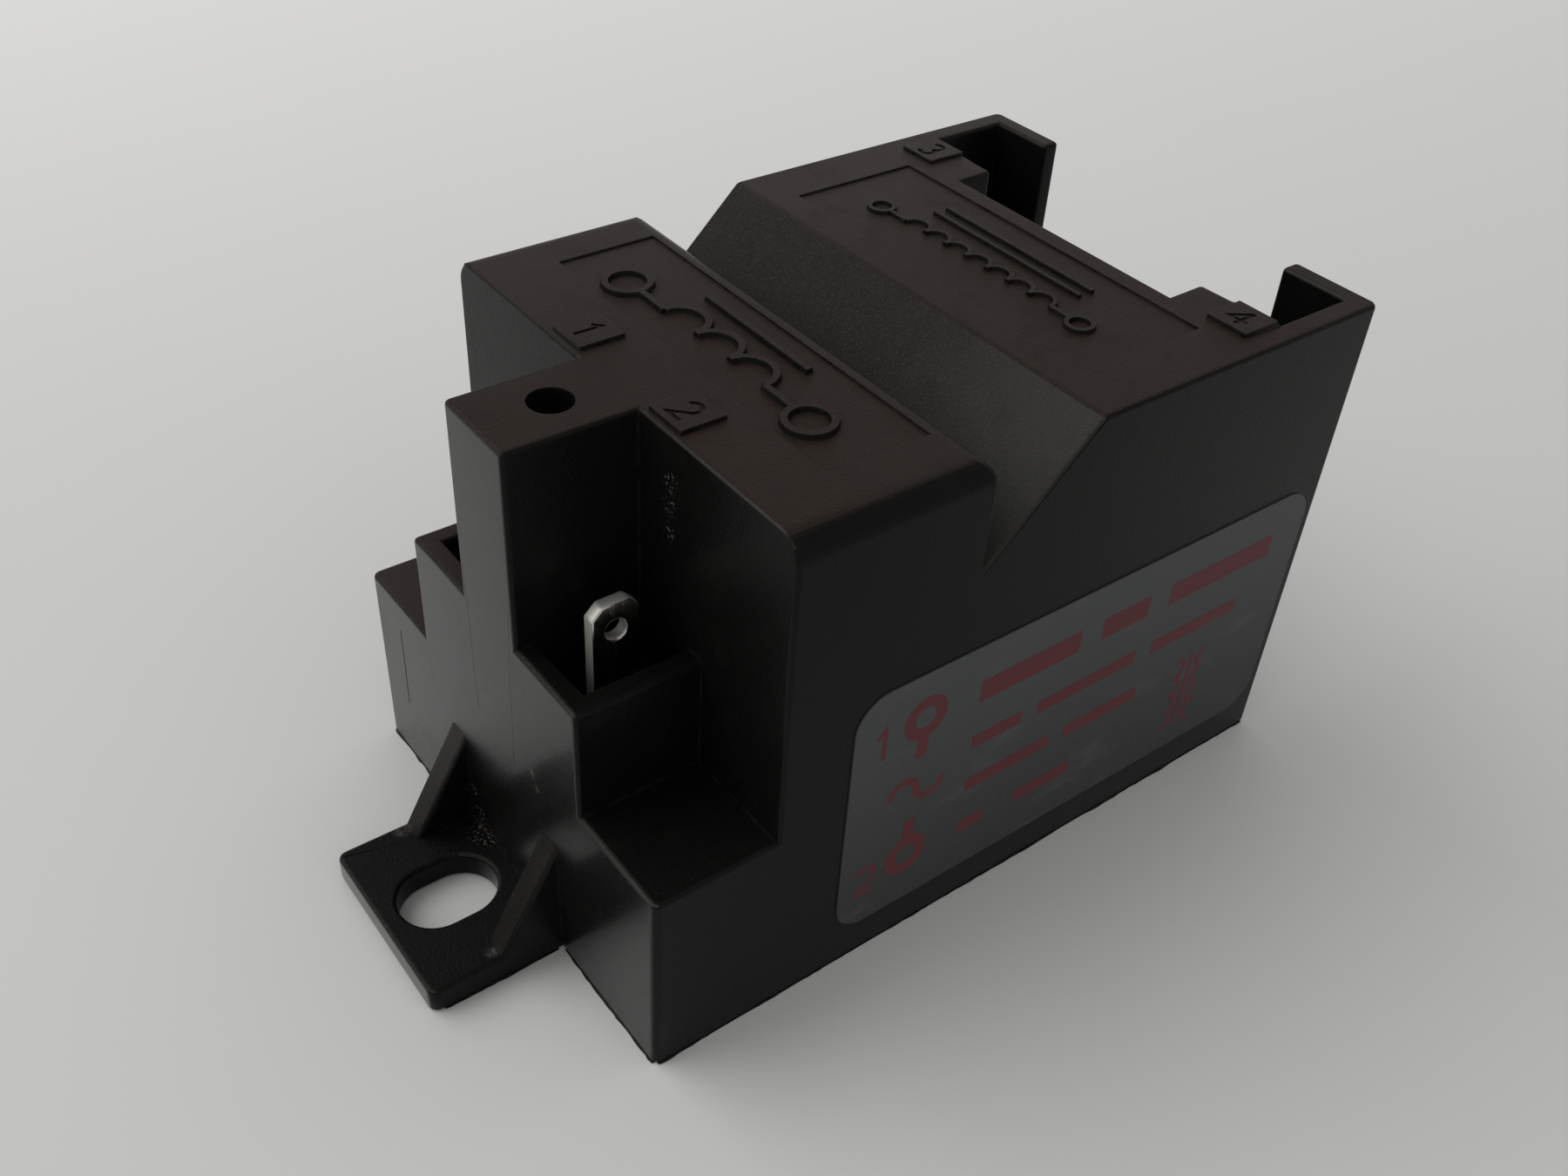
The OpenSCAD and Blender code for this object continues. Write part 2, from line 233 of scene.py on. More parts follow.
# %% [markdown]
# ## The moulded plastic
#
# The housing is a glass-filled moulding, nearly black with a touch of brown. The mould was spark
# eroded, so each face has a fine, even grain that spreads the light; on the slope of the groove
# the grain is coarser and sparkles. Handling has polished some patches and left others dull. Two
# sizes of noise give the grain, and slow noise changes the roughness, so the gloss is never
# quite even. A painted image would blur this close, but noise stays sharp at any size.

# %% Dark moulding
GRAIN = 0.13 * MM
COARSE_GRAIN = 0.21 * MM

# Pale marks on the block, each with its centre and its reach in millimetres. The first two scars
# are where plastic was trimmed off beside the gussets. The scuffs were rubbed in by handling
SCARS = [((-24.3, 5.6, 1.9), 0.75), ((-24.2, -5.4, 1.9), 0.55),
         ((-20.2, -3.8, 12.3), 0.45), ((-20.2, -4.3, 11.5), 0.35)]
SCUFFS = [((-20.2, 3.9, 4.4), 0.7), ((-20.2, 3.4, 2.6), 1.2),
          ((-20.4, 2.6, 1.8), 1.3), ((-20.2, 2.0, 1.6), 0.8),
          ((-12.7, -5.6, 29.6), 0.9), ((-12.7, -5.6, 28.2), 0.8), ((-12.7, -5.7, 26.6), 0.7)]


def dark_moulding():
    recipe = Recipe("dark_moulding")
    facing = recipe.facing()

    # The slope of the groove is the one face that leans between upright and flat
    slope = (facing["Z"].above(0.5, 0.05) * facing["Z"].below(0.9, 0.05)
             * facing["X"].below(-0.3, 0.05))
    at = recipe.axes()
    front = facing["X"].below(-0.9, 0.05) * at["X"].below(-19 * MM, 0.1 * MM)
    top = facing["Z"].above(0.9, 0.05)
    high = at["Z"].above(29 * MM, 1 * MM)
    # Painted light: tops high up, and low floors on the window's side that its light reaches, are
    # painted a paler, warmer brown than faces in shade
    far = at["Y"].above(2.5 * MM, 0.4 * MM) * at["X"].above(-20.3 * MM, 0.1 * MM)
    window_lit_tops = top * high.maths("MAXIMUM", far)

    cloud = recipe.noise(9 * MM, detail=3)
    smudge = recipe.noise(2.6 * MM, detail=5, roughness=0.65).above(0.6, 0.12)
    brown = cloud.mix((0.0044, 0.0042, 0.0040), (0.0062, 0.0058, 0.0054))
    # Painted light: the tops are painted palest on the window's side, where its light falls most
    window_side = at["Y"].above(7 * MM, 8 * MM)
    lit_top_brown = window_side.mix((0.0240, 0.0150, 0.0122), (0.0365, 0.0270, 0.0235))
    warm = window_lit_tops.mix(brown, lit_top_brown)
    # Painted sheen: the slope of the groove is painted a paler grey than the body, palest towards
    # -Y, for the window's light that its grain catches
    rubs_and_sheen = at["Y"].below(-7 * MM, 7 * MM).mix((0.0215, 0.0185, 0.0168), (0.043, 0.042, 0.040))
    warm = slope.mix(warm, rubs_and_sheen)
    dusty = (smudge * 0.14).mix(warm, (0.014, 0.0125, 0.0115))

    # Handling wears the edges first: there the rounded normal leaves the flat one. Their paler
    # colour is partly wear and partly a painted highlight along the edges
    edge = recipe.edge(0.35 * MM) * recipe.noise(0.8 * MM, detail=4).above(0.42, 0.14)
    wear_and_highlight = (edge * 0.5).mix(dusty, (0.030, 0.028, 0.026))

    # A few places were scraped and show pale grains of filler. Pale specks of filler lie
    # everywhere, and the many more on the slope and the lit tops are painted glints of their grain
    grit = recipe.noise(0.2 * MM, detail=2, roughness=0.7).above(0.61, 0.03)
    specks_and_glints = (recipe.noise(0.10 * MM, detail=1).above(0.60, 0.04)
              * (0.03 + slope * 0.45 + window_lit_tops * 0.10))
    glints_and_scrapes = specks_and_glints.mix(wear_and_highlight, (0.070, 0.066, 0.061))
    rub = 0.15 + recipe.noise(0.25 * MM, detail=3).above(0.52, 0.08) * 0.5
    pale_marks = ((SCUFFS, grit, (0.20, 0.19, 0.18)), (SCARS, rub, (0.12, 0.115, 0.11)))
    for spots, cover, pale in pale_marks:
        for centre, reach in spots:
            spot = recipe.near([c * MM for c in centre], reach * MM)
            glints_and_scrapes = (spot * cover).mix(glints_and_scrapes, pale)

    fine = recipe.noise(GRAIN, detail=3, roughness=0.6)
    coarse = recipe.noise(COARSE_GRAIN, detail=2, roughness=0.6)
    grain = fine * (0.6 + slope * 1.2 + top * 0.5) + coarse * (0.3 + slope * 0.3 + top * 0.5)

    roughness = 0.20 + cloud * 0.08 + smudge * 0.07 + slope * 0.30 + window_lit_tops * 0.22 - edge * 0.04
    # The end faces were polished in the mould, and a thin glossy skin is left on them. It is
    # thickest on the window's side and on the lug's edge, which nobody touches
    shine = 0.36 + at["Y"].above(3 * MM, 9 * MM) * 0.14 + at["X"].below(-28 * MM, 0.1 * MM) * 0.25
    recipe.set(Base_Color=glints_and_scrapes, Roughness=roughness, IOR=1.5, Specular_IOR_Level=0.09,
               Coat_Weight=front * shine, Coat_Roughness=0.16, Coat_IOR=1.5)
    recipe.bump(grain, 0.035 * MM, 0.9)
    return recipe.material


MOULDING = dark_moulding()
print("material:", MOULDING.name, "with", len(MOULDING.node_tree.nodes), "nodes")

# %% [markdown]
# ## The housing with softened edges
#
# No moulded edge is sharp: the mould leaves a radius of a few tenths of a millimetre, and that
# thin curved strip is what catches the light and draws the outline of a dark object. A bevel
# modifier has one width for all edges, so the shallow panels and pads on the tops would hold the
# whole block back to their own small size. The block is therefore rounded in two passes on its
# mesh: wide on the body, narrow on the thin steps.

# %% Helpers for pieces
def new_piece(name, mesh, material):
    """Puts a mesh into the scene as a piece of the one rigid body."""
    piece = bpy.data.objects.new(name, mesh)
    bpy.context.scene.collection.objects.link(piece)
    mesh.materials.clear()
    mesh.materials.append(material)
    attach(piece, "root")
    return piece


def smooth(piece):
    """Shades the roundings smoothly, and keeps large faces flat and inner corners sharp."""
    bm = bmesh.new()
    bm.from_mesh(piece.data)
    for edge in bm.edges:
        edge.smooth = len(edge.link_faces) == 2 and edge.calc_face_angle(0) < math.radians(42)
    for face in bm.faces:
        face.smooth = True
    bm.to_mesh(piece.data)
    bm.free()
    keep_flat(piece)


def keep_flat(piece):
    normals = piece.modifiers.new("flat faces stay flat", "WEIGHTED_NORMAL")
    normals.mode = "FACE_AREA"
    normals.weight = 50
    normals.keep_sharp = True


def wear(obj, material):
    """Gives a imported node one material, in place of the one it came with."""
    obj.data.materials.clear()
    obj.data.materials.append(material)


print("helpers ready")

# %% Round the housing
BODY_RADIUS = 0.28 * MM
STEP_RADIUS = 0.05 * MM
TOP_Z, PANEL_Z = 32.3 * MM, 32.15 * MM
NOSE_HOLE = Vector((-15.85, 0)) * MM
NEAR = 0.02 * MM
WELD = 0.001 * MM
BODY_ANGLE, STEP_ANGLE = 25, 50


def is_thin_step(edge):
    """True for the edges of the pads, the shallow panels and the mouth of the nose hole."""
    heights = [v.co.z for v in edge.verts]
    if max(heights) > TOP_Z + NEAR or any(abs(z - PANEL_Z) < NEAR for z in heights):
        return True
    if all(any(abs(o.other_vert(v).co.z - PANEL_Z) < NEAR for o in v.link_edges)
           for v in edge.verts):
        return True
    return all((v.co.xy - NOSE_HOLE).length < 1.3 * MM for v in edge.verts)


def round_edges(bm, edges, radius, segments):
    bmesh.ops.bevel(bm, geom=edges, offset=radius, offset_type="OFFSET", segments=segments,
                    profile=0.5, affect="EDGES", clamp_overlap=False, loop_slide=True)


def outer_edges(bm, least):
    """The edges that stand out and turn by more than an angle in degrees."""
    return [e for e in bm.edges if e.is_convex and e.calc_face_angle(0) > math.radians(least)]


def moulded_mesh():
    bm = bmesh.new()
    bm.from_mesh(nodes["housing"].data)
    bmesh.ops.remove_doubles(bm, verts=bm.verts, dist=WELD)
    bmesh.ops.dissolve_limit(bm, angle_limit=math.radians(0.6), verts=bm.verts, edges=bm.edges)
    body = [e for e in outer_edges(bm, BODY_ANGLE) if not is_thin_step(e)]
    round_edges(bm, body, BODY_RADIUS, 3)
    thin = [e for e in outer_edges(bm, STEP_ANGLE) if is_thin_step(e)]
    round_edges(bm, thin, STEP_RADIUS, 2)
    bmesh.ops.dissolve_degenerate(bm, dist=0.002 * MM, edges=bm.edges)
    mesh = bpy.data.meshes.new("moulded_housing")
    bm.to_mesh(mesh)
    bm.free()
    print("rounded edges of the body:", len(body), "of the thin steps:", len(thin))
    return mesh


housing = new_piece("moulded_housing", moulded_mesh(), MOULDING)
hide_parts("housing")
print("housing faces:", len(housing.data.polygons))

# %% [markdown]
# ## Strokes: digits, symbols and print
#
# The digits on the pads, the raised marks on the tops and the print on the label are all drawn
# with a pen of even width. One helper turns a line of points into such a stroke with mitred
# corners: a low bar whose sides lean in a little, as they must to leave a mould.

# %% A pen that draws in solid strokes
def arc(centre, radius, start, stop, steps=16):
    """Points along an arc, with angles in degrees."""
    return [(centre[0] + radius * math.cos(math.radians(start + (stop - start) * i / steps)),
             centre[1] + radius * math.sin(math.radians(start + (stop - start) * i / steps)))
            for i in range(steps + 1)]


def offsets(points, closed):
    """For each point the direction that widens the stroke, with its length set for a mitre."""
    last = len(points) - 1
    ways = []
    for i, point in enumerate(points):
        before = points[i - 1] if i or closed else point
        after = points[(i + 1) % len(points)] if i < last or closed else point
        sides = [Vector((-(b[1] - a[1]), b[0] - a[0])).normalized()
                 for a, b in ((before, point), (point, after)) if a != b]
        middle = sum(sides, Vector((0, 0))).normalized()
        ways.append(middle / max(0.5, middle.dot(sides[0])))
    return ways


STEP_UP = 0.0006


def stroke(bm, points, width, low, high, place, closed=False, draft=0.2):
    """Adds one stroke to bm; place turns (u, v, height) into a point of the part."""
    points = [tuple(p) for p in points]
    section = [(-0.5, low), (draft - 0.5, high), (0.5 - draft, high), (0.5, low)]
    rings = [[bm.verts.new(place(p[0] + way.x * side * width, p[1] + way.y * side * width, height))
              for side, height in section] for p, way in zip(points, offsets(points, closed))]
    pairs = list(zip(rings, rings[1:])) + ([(rings[-1], rings[0])] if closed else [])
    for first, second in pairs:
        for i in range(4):
            j = (i + 1) % 4
            bm.faces.new((first[i], first[j], second[j], second[i]))
    if not closed:
        bm.faces.new(reversed(rings[0]))
        bm.faces.new(rings[-1])


def drawing(name, strokes, width, low, high, place, draft=0.2):
    """A mesh of several strokes, each a list of points and whether it is closed."""
    bm = bmesh.new()
    for i, (points, closed) in enumerate(strokes):
        # Each stroke is a hair higher than the one before, so that crossings don't share a plane
        stroke(bm, points, width, low, high + i * STEP_UP, place, closed, draft)
    bmesh.ops.recalc_face_normals(bm, faces=bm.faces)
    mesh = bpy.data.meshes.new(name)
    bm.to_mesh(mesh)
    bm.free()
    return mesh


print("pen ready")

# %% Digits and symbols as lines
# Each glyph lies in a box one unit high, centred on zero
GLYPHS = {
    "1": [([(-0.18, 0.25), (0.05, 0.5), (0.05, -0.5)], False)],
    "2": [(arc((0, 0.22), 0.28, 165, -40) + [(-0.3, -0.46), (0.32, -0.46)], False)],
    "3": [(arc((0, 0.24), 0.25, 150, -80, 12), False),
          (arc((0, -0.24), 0.27, 80, -150, 12), False)],
    "4": [([(0.35, -0.18), (-0.35, -0.18), (0.12, 0.5)], False),
          ([(0.12, 0.53), (0.12, -0.5)], False)],
    "terminal": [(arc((0, 0), 0.3, -90, 270, 28)[:-1], True), ([(0, -0.3), (0, -0.78)], False)],
    "wave": [(arc((-0.5, 0), 0.5, 180, 0, 14) + arc((0.5, 0), 0.5, 180, 360, 14)[1:], False)],
}


def glyph(name, at, size, stretch=1.0, turn=0.0):
    """The strokes of a glyph, scaled, turned by an angle in degrees and moved to a place."""
    c, s = math.cos(math.radians(turn)), math.sin(math.radians(turn))
    return [([(at[0] + size * (c * x * stretch - s * y), at[1] + size * (s * x * stretch + c * y))
              for x, y in points], closed) for points, closed in GLYPHS[name]]


print("glyphs:", ", ".join(GLYPHS))

# %% [markdown]
# ## Marks on the tops
#
# The pads beside the terminals carry the numbers 1 to 4, cut into them. The panels that the mould
# inserts left hold raised marks in the real part. Here they show plain circuit symbols in their
# place: the primary with its few turns on the front block, the secondary with many on the rear.

# %% Cut the digits into the pads
def on_top(u, v, height):
    """Reading direction of the tops: u runs towards -Y and v towards +X."""
    return Vector((v, -u, height)) * MM


PADS = {"1": (-10.92, 4.57), "2": (-10.92, -4.57), "3": (19.88, 12.87), "4": (19.88, -12.87)}


DIGIT_SIZE, DIGIT_PEN = 1.7, 0.3
DIGIT_FLOORS = (32.44, 32.43)
ABOVE_PADS = 33.0


def engrave(strokes, floor_z):
    """Cuts strokes that don't cross each other into the housing, down to a height."""
    mesh = drawing("digits", strokes, DIGIT_PEN, floor_z, ABOVE_PADS, on_top, draft=0)
    cutter = bpy.data.objects.new("digits", mesh)
    bpy.context.scene.collection.objects.link(cutter)
    tool = housing.modifiers.new("digits", "BOOLEAN")
    tool.operation = "DIFFERENCE"
    tool.solver = "EXACT"
    tool.object = cutter
    bpy.context.view_layer.update()
    graph = bpy.context.evaluated_depsgraph_get()
    carved = bpy.data.meshes.new_from_object(housing.evaluated_get(graph))
    housing.modifiers.remove(tool)
    housing.data = carved
    bpy.data.objects.remove(cutter)


# The second strokes of 3 and 4 cross the first ones, so they are cut in a pass of their own, and
# a hair deeper, so that the two floors don't share a plane
digits = [glyph(name, (-y, x - 0.1), DIGIT_SIZE) for name, (x, y) in PADS.items()]
for turn, floor_z in enumerate(DIGIT_FLOORS):
    engrave([lines[turn] for lines in digits if len(lines) > turn], floor_z)
smooth(housing)
print("housing faces with digits:", len(housing.data.polygons))

# %% Raised symbols on the panels
def circuit(at, size, turns, reach):
    """Two terminals joined by a coil of half circles, in a row along u."""
    left, right = at[0] - turns * size / 2, at[0] + turns * size / 2
    ring = size * 0.42
    strokes = [(arc((left + (i + 0.5) * size, at[1]), size / 2, 180, 0, 14), False)
               for i in range(turns)]
    for end, way in ((left, -1), (right, 1)):
        strokes.append(([(end, at[1]), (end + way * reach, at[1])], False))
        strokes.append((arc((end + way * (reach + ring), at[1]), ring, 0, 360, 24)[:-1], True))
    return strokes


def moulded(name, strokes, width, low, high, place, draft=0.2):
    """A raised mark that belongs to the moulding."""
    mesh = drawing(name, strokes, width, low, high, place, draft)
    return new_piece(name, mesh, MOULDING)


SYMBOL_FOOT = 32.1
primary = circuit((0, -6.3), 3.0, 3, 2.4) + [([(-4.5, -3.5), (4.5, -3.5)], False)]
moulded("primary_symbol", primary, 0.6, SYMBOL_FOOT, 32.44, on_top)
secondary = circuit((0, 11.9), 1.75, 7, 1.5)
secondary += [([(-6.1, v), (6.1, v)], False) for v in (14.2, 15.2)]
moulded("secondary_symbol", secondary, 0.42, SYMBOL_FOOT, 32.38, on_top)
print("strokes of the symbols:", len(primary), "and", len(secondary))

# %% [markdown]
# ## Traces of the mould
#
# The end of the block was shaped by a separate block in the mould, and its joints left two fine
# seams on the front. Along the open rim the plastic crept a little way between the two halves of
# the mould: a thin fin of flash that comes and goes. Noise decides how far it reaches, and because
# mathutils.noise gives the same value for the same point, the fin is the same on every run.

# %% Seams and flash
FRONT_X = -20.15


def on_front(u, v, height):
    """Reading direction of the front end: u runs towards -Y and v up."""
    return Vector((FRONT_X - height, -u, v)) * MM


# The foot of a fine ridge lies this far inside the face that it stands on
RIDGE_FOOT = -0.02
seams = [([(2.35, 22.6), (1.95, 17.0), (1.75, 11.4)], False),
         ([(-2.5, 22.6), (-2.3, 17.0), (-2.2, 12.4)], False)]
moulded("mould_seams", seams, 0.22, RIDGE_FOOT, 0.009, on_front, draft=0.45)
scratch = [([(-12.28, 10.9), (-12.33, 8.0), (-12.42, 4.9)], False)]
moulded("front_scratch", scratch, 0.08, RIDGE_FOOT, 0.018, on_front)


def flash(bm, start, stop, out, reach, step=0.35):
    """A fin along the rim from start to stop that stands out by at most `reach` millimetres."""
    start, stop, out = Vector(start), Vector(stop), Vector(out)
    count = int((stop - start).length / step)
    rings = []
    for i in range(count + 1):
        point = start.lerp(stop, i / count)
        amount = noise.noise(point * 0.35) * 0.6 + noise.noise(point * 1.7) * 0.4
        grown = reach * max(0.04, min(1.0, 0.35 + 1.6 * amount)) * (0.1 if i in (0, count) else 1)
        lift = Vector((0, 0, 0.1 + 0.5 * grown))
        root = point - out * 0.3
        rings.append([bm.verts.new(p * MM) for p in (root, point + out * grown, root + lift)])
    for first, second in zip(rings, rings[1:]):
        for a in range(3):
            b = (a + 1) % 3
            bm.faces.new((first[a], first[b], second[b], second[a]))
    bm.faces.new(reversed(rings[0]))
    bm.faces.new(rings[-1])


FLASH = [((-19.9, -15.75, 0.02), (28.0, -15.75, 0.02), (0, -1, 0), 0.09),
         ((-19.9, 15.75, 0.02), (28.0, 15.75, 0.02), (0, 1, 0), 0.09),
         ((-20.15, -15.5, 0.02), (-20.15, -6.3, 0.02), (-1, 0, 0), 0.12),
         ((-20.15, 6.3, 0.02), (-20.15, 15.5, 0.02), (-1, 0, 0), 0.12),
         ((-27.6, -6.1, 0.02), (-20.4, -6.1, 0.02), (0, -1, 0), 0.14),
         ((-27.6, 6.1, 0.02), (-20.4, 6.1, 0.02), (0, 1, 0), 0.14)]


def flash_mesh():
    bm = bmesh.new()
    for row in FLASH:
        flash(bm, *row)
    bmesh.ops.recalc_face_normals(bm, faces=bm.faces)
    mesh = bpy.data.meshes.new("mould_flash")
    bm.to_mesh(mesh)
    bm.free()
    return mesh


new_piece("mould_flash", flash_mesh(), MOULDING)
print("seams:", len(seams), "stretches of flash:", len(FLASH))

# %% [markdown]
# ## The label
#
# The label is a grey printed film with rounded corners, stuck to one side. Its ink lies on top of
# the film. The numbers beside two ring terminals and the wave sign say where the supply goes. The
# lines of text are left out: plain bars stand in their place.

# %% Film and print
FILM_LOW, FILM_HIGH = 15.75, 15.838
INK_FOOT, PRINT_HIGH = FILM_HIGH - 0.01, 15.841
LABEL = (-8.15, 27.35, 2.6, 20.3)
LABEL_RADIUS = 2.2


def on_side(u, v, height):
    """Reading direction of the label: u runs along +X and v up."""
    return Vector((u, -height, v)) * MM


def film_mesh():
    x0, x1, z0, z1 = LABEL
    r = LABEL_RADIUS
    outline = (arc((x1 - r, z1 - r), r, 90, 0) + arc((x1 - r, z0 + r), r, 0, -90)
               + arc((x0 + r, z0 + r), r, -90, -180) + arc((x0 + r, z1 - r), r, 180, 90))
    bm = bmesh.new()
    face = bm.faces.new([bm.verts.new(on_side(u, v, FILM_LOW)) for u, v in outline])
    raised = bmesh.ops.extrude_face_region(bm, geom=[face])["geom"]
    for vert in raised:
        if isinstance(vert, bmesh.types.BMVert):
            vert.co.y = -FILM_HIGH * MM
    bmesh.ops.recalc_face_normals(bm, faces=bm.faces)
    rim = [e for e in bm.edges if all(v.co.y < -15.8 * MM for v in e.verts)]
    round_edges(bm, rim, 0.04 * MM, 2)
    mesh = bpy.data.meshes.new("label_film")
    bm.to_mesh(mesh)
    bm.free()
    return mesh


def printed_film():
    recipe = Recipe("printed_film")
    cloud = recipe.noise(6 * MM, detail=4)
    mottle = recipe.noise(0.35 * MM, detail=3, roughness=0.6)
    clean = cloud.mix((0.068, 0.0705, 0.073), (0.080, 0.0825, 0.085))
    # Painted shade: the film is painted darker towards the foot of the block, where less light
    # reaches it
    grey = (recipe.axes()["Z"].below(11 * MM, 9 * MM) * 0.75).mix(clean, (0.031, 0.0325, 0.034))
    rub = recipe.noise(3 * MM, detail=5, stretch=(0.4, 1, 1)).above(0.62, 0.06)
    rubs_and_sheen = (rub * 0.3).mix(grey, (0.110, 0.112, 0.115))
    recipe.set(Base_Color=(mottle.above(0.6, 0.1) * 0.3).mix(rubs_and_sheen, (0.090, 0.092, 0.095)),
               Roughness=0.42 + cloud * 0.12 + mottle * 0.08, IOR=1.46,
               Specular_IOR_Level=0.2)
    recipe.bump(mottle * 0.5 + cloud * 0.5, 0.012 * MM, 0.5)
    return recipe.material


def red_ink():
    recipe = Recipe("red_ink")
    cloud = recipe.noise(1.2 * MM, detail=4)
    thin = recipe.noise(0.18 * MM, detail=3, roughness=0.65).above(0.63, 0.05)
    red = cloud.mix((0.102, 0.022, 0.028), (0.128, 0.030, 0.036))
    recipe.set(Base_Color=(thin * 0.4).mix(red, (0.090, 0.055, 0.058)),
               Roughness=0.45 + cloud * 0.15, Specular_IOR_Level=0.2)
    recipe.bump(cloud, 0.004 * MM, 0.4)
    return recipe.material


film = new_piece("label_film", film_mesh(), printed_film())
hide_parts("label")
smooth(film)
INK = red_ink()


def printed(name, strokes, width):
    mesh = drawing(name, strokes, width, INK_FOOT, PRINT_HIGH, on_side, draft=0)
    return new_piece(name, mesh, INK)


printed("terminal_numbers", glyph("1", (-6.2, 16.6), 2.2) + glyph("2", (-6.3, 6.1), 2.2), 0.34)
printed("terminal_signs", glyph("terminal", (-3.3, 17.1), 3.7)
        + glyph("terminal", (-3.4, 6.5), 3.7, turn=180), 0.78)
printed("supply_sign", glyph("wave", (-3.3, 11.8), 1.85), 0.5)
TITLE = [(0.6, 8.2, 16.9), (10.0, 13.8, 16.9), (15.6, 24.6, 16.9)]
LINES = [(0.6, 4.4, 13.1), (5.6, 13.6, 13.1), (15.0, 22.6, 13.1),
         (0.6, 7.2, 9.7), (8.4, 14.6, 9.7), (0.6, 2.6, 6.2), (5.0, 9.6, 6.2)]


def bars(rows):
    """One level stroke for each row of start, stop and height."""
    return [([(start, v), (stop, v)], False) for start, stop, v in rows]


def winding_sign(at, size, turns):
    """Two coils face to face, with the core as a bar between them."""
    u, v = at
    half = turns * size / 2
    coils = [(arc((u + way * size * 0.9, v - half + (i + 0.5) * size), size / 2,
                  -90, -90 - way * 180, 12), False)
             for way in (-1, 1) for i in range(turns)]
    return coils + [([(u, v - half), (u, v + half)], False)]


printed("title_bars", bars(TITLE), 1.6)
printed("text_bars", bars(LINES), 1.0)
printed("winding_sign", winding_sign((19.6, 7.4), 1.5, 4), 0.36)
print("label with", len(TITLE) + len(LINES), "bars")

# %% [markdown]
# ## Tinned tabs
#
# The tabs are stamped from brass strip and tin plated. Tin is a soft grey metal with a satin
# shine; the stamped edge is rougher than the faces, and its paler colour is a painted highlight.
# Pushing a receptacle on and off leaves fine scratches along the tab.

# %% Tinned brass
def tinned_brass():
    recipe = Recipe("tinned_brass")
    cloud = recipe.noise(1.6 * MM, detail=4)
    scratches = recipe.noise(0.3 * MM, detail=3, stretch=(1, 1, 0.05),
                             roughness=0.7).above(0.6, 0.08)
    silver = cloud.mix((0.50, 0.49, 0.45), (0.66, 0.65, 0.62))
    # The stamped narrow sides are rougher than the rolled faces; their paler colour is a painted
    # highlight on the lit edge
    side = 1 - recipe.facing()["Y"].maths("ABSOLUTE").above(0.5, 0.2)
    dull = (recipe.noise(0.8 * MM, detail=5).above(0.62, 0.1) * 0.5).mix(silver, (0.34, 0.31, 0.26))
    recipe.set(Base_Color=(side * 0.8).mix(dull, (0.80, 0.79, 0.74)), Metallic=1 - side * 0.2,
               Roughness=0.12 + cloud * 0.10 + scratches * 0.10 + side * 0.30)
    recipe.bump(cloud * 0.6 + scratches * 0.4, 0.01 * MM, 0.5)
    return recipe.material


TIN = tinned_brass()


def soften(obj, radius):
    """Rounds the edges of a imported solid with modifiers."""
    weld = obj.modifiers.new("weld", "WELD")
    weld.merge_threshold = WELD
    bevel = obj.modifiers.new("edge radius", "BEVEL")
    bevel.width = radius
    bevel.segments = 3
    bevel.limit_method = "ANGLE"
    bevel.angle_limit = math.radians(30)
    for face in obj.data.polygons:
        face.use_smooth = True
    keep_flat(obj)


for name in ("primary_tab_1", "primary_tab_2", "high_voltage_tab_1", "high_voltage_tab_2"):
    wear(nodes[name], TIN)
    soften(nodes[name], 0.12 * MM)
print("tabs:", TIN.name)

# %% [markdown]
# ## The cast underside and the hidden coil
#
# The block is filled with resin from below, and the resin closes it. It sets with a glossy,
# slightly wavy skin that has small pits where bubbles burst. The coil inside never shows, but
# each of its pieces still gets the finish of its real material.

# %% Resin, ferrite, formers, copper and tape
def cast_resin():
    recipe = Recipe("cast_resin")
    waves = recipe.noise(5 * MM, detail=2)
    pits = recipe.node("ShaderNodeTexVoronoi", {}, {
        "Vector": recipe.place(), "Scale": 1 / (2.6 * MM)})
    bubble = pits["Distance"].below(0.12, 0.06)
    tint = waves.mix((0.030, 0.021, 0.015), (0.050, 0.034, 0.022))
    recipe.set(Base_Color=tint, Roughness=0.12 + waves * 0.14 + bubble * 0.2, IOR=1.55)
    recipe.bump(waves - bubble * 0.35, 0.12 * MM, 0.8)
    return recipe.material


def sintered_ferrite():
    recipe = Recipe("ferrite")
    grit = recipe.noise(0.25 * MM, detail=4)
    recipe.set(Base_Color=grit.mix((0.035, 0.035, 0.038), (0.075, 0.074, 0.075)),
               Roughness=0.55 + grit * 0.2)
    recipe.bump(grit, 0.03 * MM, 0.6)
    return recipe.material


def pale_former():
    recipe = Recipe("pale_plastic")
    cloud = recipe.noise(3 * MM, detail=3)
    recipe.set(Base_Color=cloud.mix((0.62, 0.58, 0.48), (0.74, 0.70, 0.60)),
               Roughness=0.42 + cloud * 0.14)
    recipe.bump(recipe.noise(0.2 * MM), 0.01 * MM, 0.4)
    return recipe.material


def enamelled_copper():
    recipe = Recipe("enamelled_copper")
    turns = recipe.node("ShaderNodeTexWave", {"bands_direction": "X"}, {
        "Vector": recipe.place(), "Scale": 1 / (1.2 * MM), "Distortion": 0.6, "Detail": 1.0})["Fac"]
    recipe.set(Base_Color=turns.mix((0.24, 0.075, 0.02), (0.55, 0.22, 0.07)), Metallic=1.0,
               Roughness=0.25 + turns * 0.15)
    recipe.bump(turns, 0.06 * MM, 0.8)
    return recipe.material


def polyester_tape():
    recipe = Recipe("yellow_tape")
    laps = recipe.noise(1.8 * MM, detail=2, stretch=(1, 0.3, 0.3))
    recipe.set(Base_Color=laps.mix((0.62, 0.42, 0.06), (0.80, 0.58, 0.12)),
               Roughness=0.3 + laps * 0.15)
    recipe.bump(laps, 0.03 * MM, 0.5)
    return recipe.material


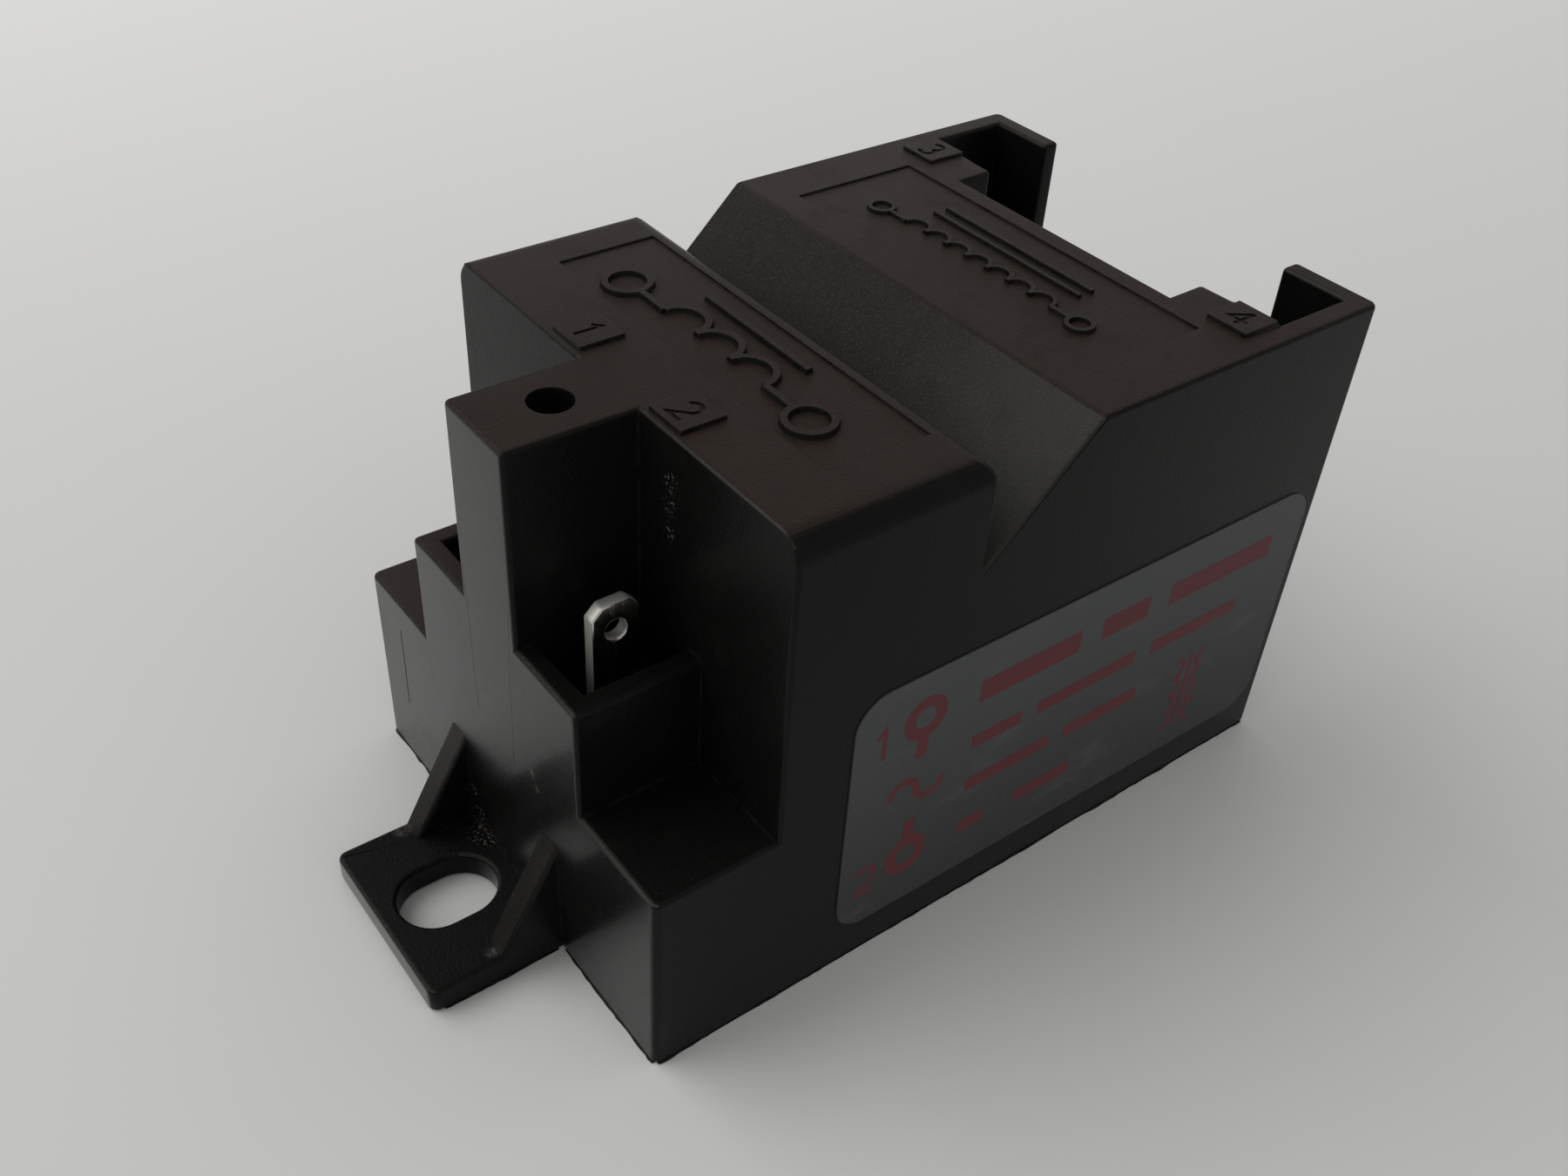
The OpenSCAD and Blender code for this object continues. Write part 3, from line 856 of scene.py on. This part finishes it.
COPPER = enamelled_copper()
FORMER = pale_former()
inside = {"potting_resin": cast_resin(), "ferrite_rod": sintered_ferrite(),
          "primary_sleeve": FORMER, "chambered_former": FORMER, "primary_winding": COPPER,
          "insulation_tape": polyester_tape()}
for name, node in nodes.items():
    if name in inside:
        wear(node, inside[name])
    elif name.startswith(("secondary_winding", "primary_lead", "high_voltage_lead")):
        wear(node, COPPER)
print("inner pieces finished:", len(inside))

# %% [markdown]
# ## The floor, the light and the camera
#
# The block stands on a pale sheet under a window that lies behind it: the tops are lit, the faces
# towards the camera are dark, and the front end mirrors the bright paper. One large soft lamp
# behind and above stands for the window, and a weak one stands for the wall on the far right. The
# even light of the world opens the shadows.

# %% Floor
def paper():
    recipe = Recipe("paper")
    cloud = recipe.noise(40 * MM, detail=3)
    fibre = recipe.noise(0.5 * MM, detail=3)
    # Painted light: the sheet is painted whiter far back, where the window lights it most, and it
    # is a little less white where the block's end lies
    at = recipe.axes()
    back = (at["Y"] + at["X"] * 0.5).above(110 * MM, 120 * MM)
    white = cloud.mix((0.765, 0.765, 0.76), (0.795, 0.795, 0.79))
    recipe.set(Base_Color=back.mix(white, (0.94, 0.94, 0.938)), Roughness=0.8)
    recipe.bump(fibre, 0.02 * MM, 0.3)
    return recipe.material


FLOOR_HALF = 4.0
# A hair below the block, so that the two never share a plane
FLOOR_Z = -0.02 * MM


def build_floor():
    mesh = bpy.data.meshes.new("floor")
    corners = [(x * FLOOR_HALF, y * FLOOR_HALF, FLOOR_Z)
               for x, y in ((-1, -1), (1, -1), (1, 1), (-1, 1))]
    mesh.from_pydata(corners, [], [(0, 1, 2, 3)])
    floor = bpy.data.objects.new("floor", mesh)
    bpy.context.scene.collection.objects.link(floor)
    floor.data.materials.append(paper())
    return floor


floor = build_floor()
print("floor:", floor.dimensions[:])

# %% Lamps
def area_lamp(name, place, target, size, watts, tint=(1, 1, 1)):
    data = bpy.data.lights.new(name, "AREA")
    data.shape = "DISK"
    data.size = size
    data.energy = watts
    data.color = tint
    lamp = bpy.data.objects.new(name, data)
    bpy.context.scene.collection.objects.link(lamp)
    lamp.location = place
    lamp.rotation_euler = (Vector(target) - Vector(place)).to_track_quat("-Z", "Y").to_euler()
    return lamp


CENTRE = (0, 0, 0.012)
area_lamp("window", (-0.32, 0.34, 0.44), CENTRE, 0.70, 1.75, (1.0, 0.99, 0.98))
area_lamp("far wall", (0.46, 0.42, 0.24), CENTRE, 0.50, 0.10, (0.98, 0.99, 1.0))

world = bpy.data.worlds.new("room light")
bpy.context.scene.world = world
world.use_nodes = True
background = world.node_tree.nodes["Background"]
background.inputs["Color"].default_value = (0.93, 0.925, 0.915, 1)
background.inputs["Strength"].default_value = 0.50
bpy.context.scene.view_settings.view_transform = "Standard"

# %% Camera
# The place and the axes of the camera were worked out from the corners of the block in the
# photograph: the view is from close by, which is why the near end looks so much larger.
CAMERA_PLACE = Vector((-46.75, -56.79, 72.86)) * MM
RIGHT = Vector((0.8002, -0.5976, 0.0511))
LOOK = Vector((0.4912, 0.6040, -0.6276))
SENSOR_MM, LENS_MM = 36, 35.62


def build_camera():
    data = bpy.data.cameras.new("camera")
    data.sensor_width = SENSOR_MM
    data.lens = LENS_MM
    data.clip_start = 0.005
    camera = bpy.data.objects.new("camera", data)
    bpy.context.scene.collection.objects.link(camera)
    back = -LOOK.normalized()
    up = back.cross(RIGHT).normalized()
    right = up.cross(back).normalized()
    turn = Matrix((right, up, back)).transposed().to_4x4()
    camera.matrix_world = Matrix.Translation(CAMERA_PLACE) @ turn
    bpy.context.scene.camera = camera
    return camera


camera = build_camera()
print("camera at", [round(v / MM, 1) for v in camera.location])
